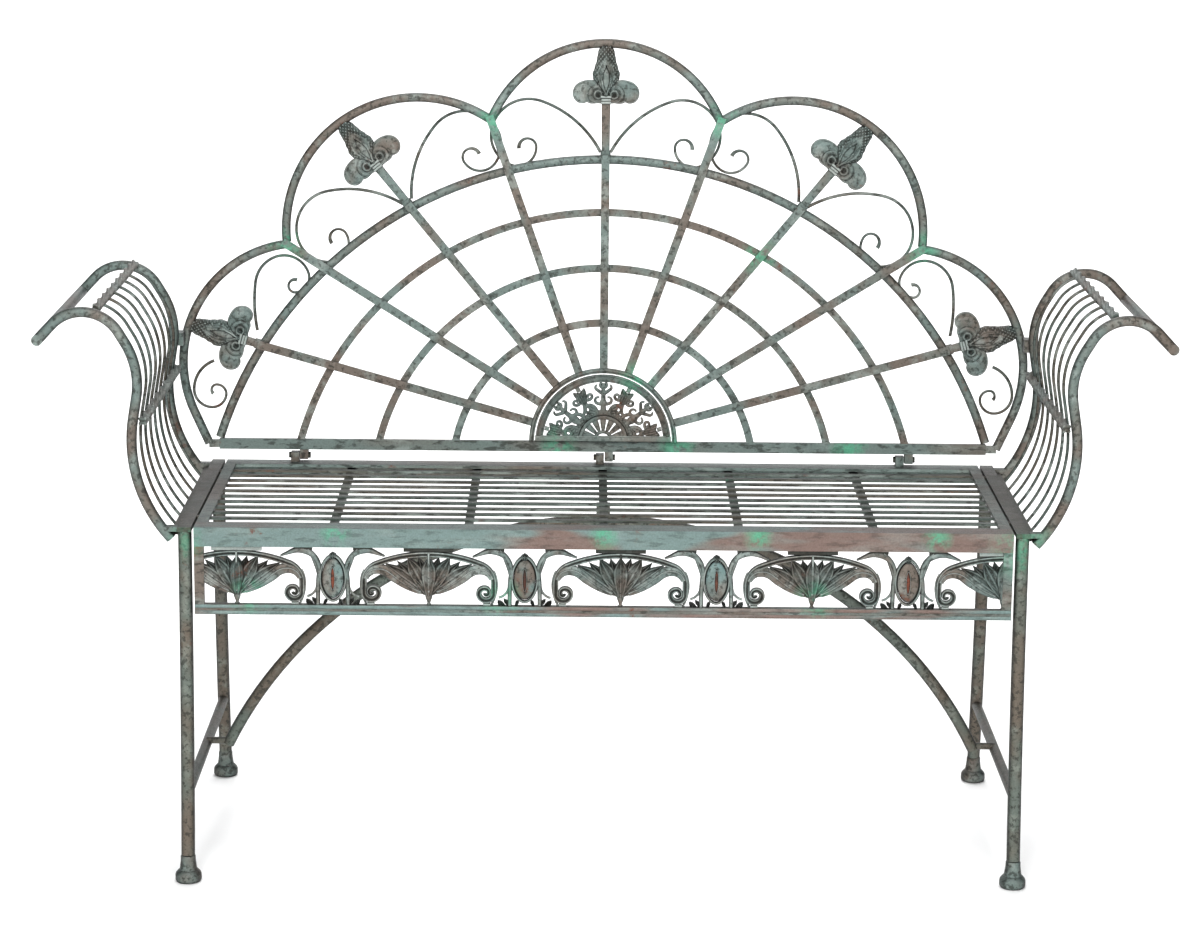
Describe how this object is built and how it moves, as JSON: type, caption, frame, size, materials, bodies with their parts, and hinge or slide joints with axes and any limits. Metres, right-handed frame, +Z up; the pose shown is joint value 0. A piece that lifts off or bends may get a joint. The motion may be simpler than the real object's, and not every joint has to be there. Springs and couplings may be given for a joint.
{
  "type": "garden bench",
  "caption": "Metal garden bench with slatted seat, fan back of spokes and hoops inside a scalloped border, lyre arms, cast frieze apron and arched brace.",
  "frame": {"origin": "on the floor under the middle of the bench, whole outline taken", "axes": "+Z up, front faces -Y, +X to the right of someone looking at the front"},
  "size_m": [1.3924, 0.467, 1.0132],
  "materials": {
    "weathered_steel": "weathered verdigris paint over grey brown steel",
    "casting": "cast relief with grey green patina",
    "dark_steel": "dark olive weathered bar",
    "rusty_boss": "rust red cast boss"
  },
  "bodies": {
    "root": {"seat_front_rail": "weathered_steel", "seat_back_rail": "weathered_steel", "seat_left_rail": "weathered_steel", "seat_right_rail": "weathered_steel", "seat_slats": "weathered_steel", "seat_cross_bars": "weathered_steel", "left_side_bar": "dark_steel", "right_side_bar": "dark_steel", "apron_frame": "weathered_steel", "apron_frieze": "casting", "apron_bosses": "rusty_boss", "front_left_leg": "weathered_steel", "front_right_leg": "weathered_steel", "back_left_leg": "weathered_steel", "back_right_leg": "weathered_steel", "front_left_foot": "casting", "front_right_foot": "casting", "back_left_foot": "casting", "back_right_foot": "casting", "left_stretcher": "weathered_steel", "right_stretcher": "weathered_steel", "arch_brace": "weathered_steel", "brace_brackets": "weathered_steel", "left_arm_front_tube": "weathered_steel", "left_arm_back_tube": "weathered_steel", "left_arm_rods": "weathered_steel", "left_arm_top_bar": "weathered_steel", "left_arm_middle_bar": "weathered_steel", "left_arm_tip_bar": "weathered_steel", "left_arm_base_bar": "dark_steel", "left_arm_links": "weathered_steel", "right_arm_front_tube": "weathered_steel", "right_arm_back_tube": "weathered_steel", "right_arm_rods": "weathered_steel", "right_arm_top_bar": "weathered_steel", "right_arm_middle_bar": "weathered_steel", "right_arm_tip_bar": "weathered_steel", "right_arm_base_bar": "dark_steel", "right_arm_links": "weathered_steel", "back_bottom_rail": "weathered_steel", "back_end_links": "weathered_steel", "back_main_arch": "weathered_steel", "outer_hoop": "weathered_steel", "middle_hoop": "weathered_steel", "inner_hoop": "weathered_steel", "fleur_spokes": "weathered_steel", "valley_spokes": "weathered_steel", "top_lobe": "weathered_steel", "left_shoulder_lobe": "weathered_steel", "right_shoulder_lobe": "weathered_steel", "left_side_lobe": "weathered_steel", "right_side_lobe": "weathered_steel", "fleurs": "casting", "scrolls": "weathered_steel", "medallion_rim": "weathered_steel", "medallion_casting": "casting", "back_lugs": "weathered_steel", "bolts": "dark_steel", "arm_spacers": "weathered_steel"}
  },
  "joints": []
}
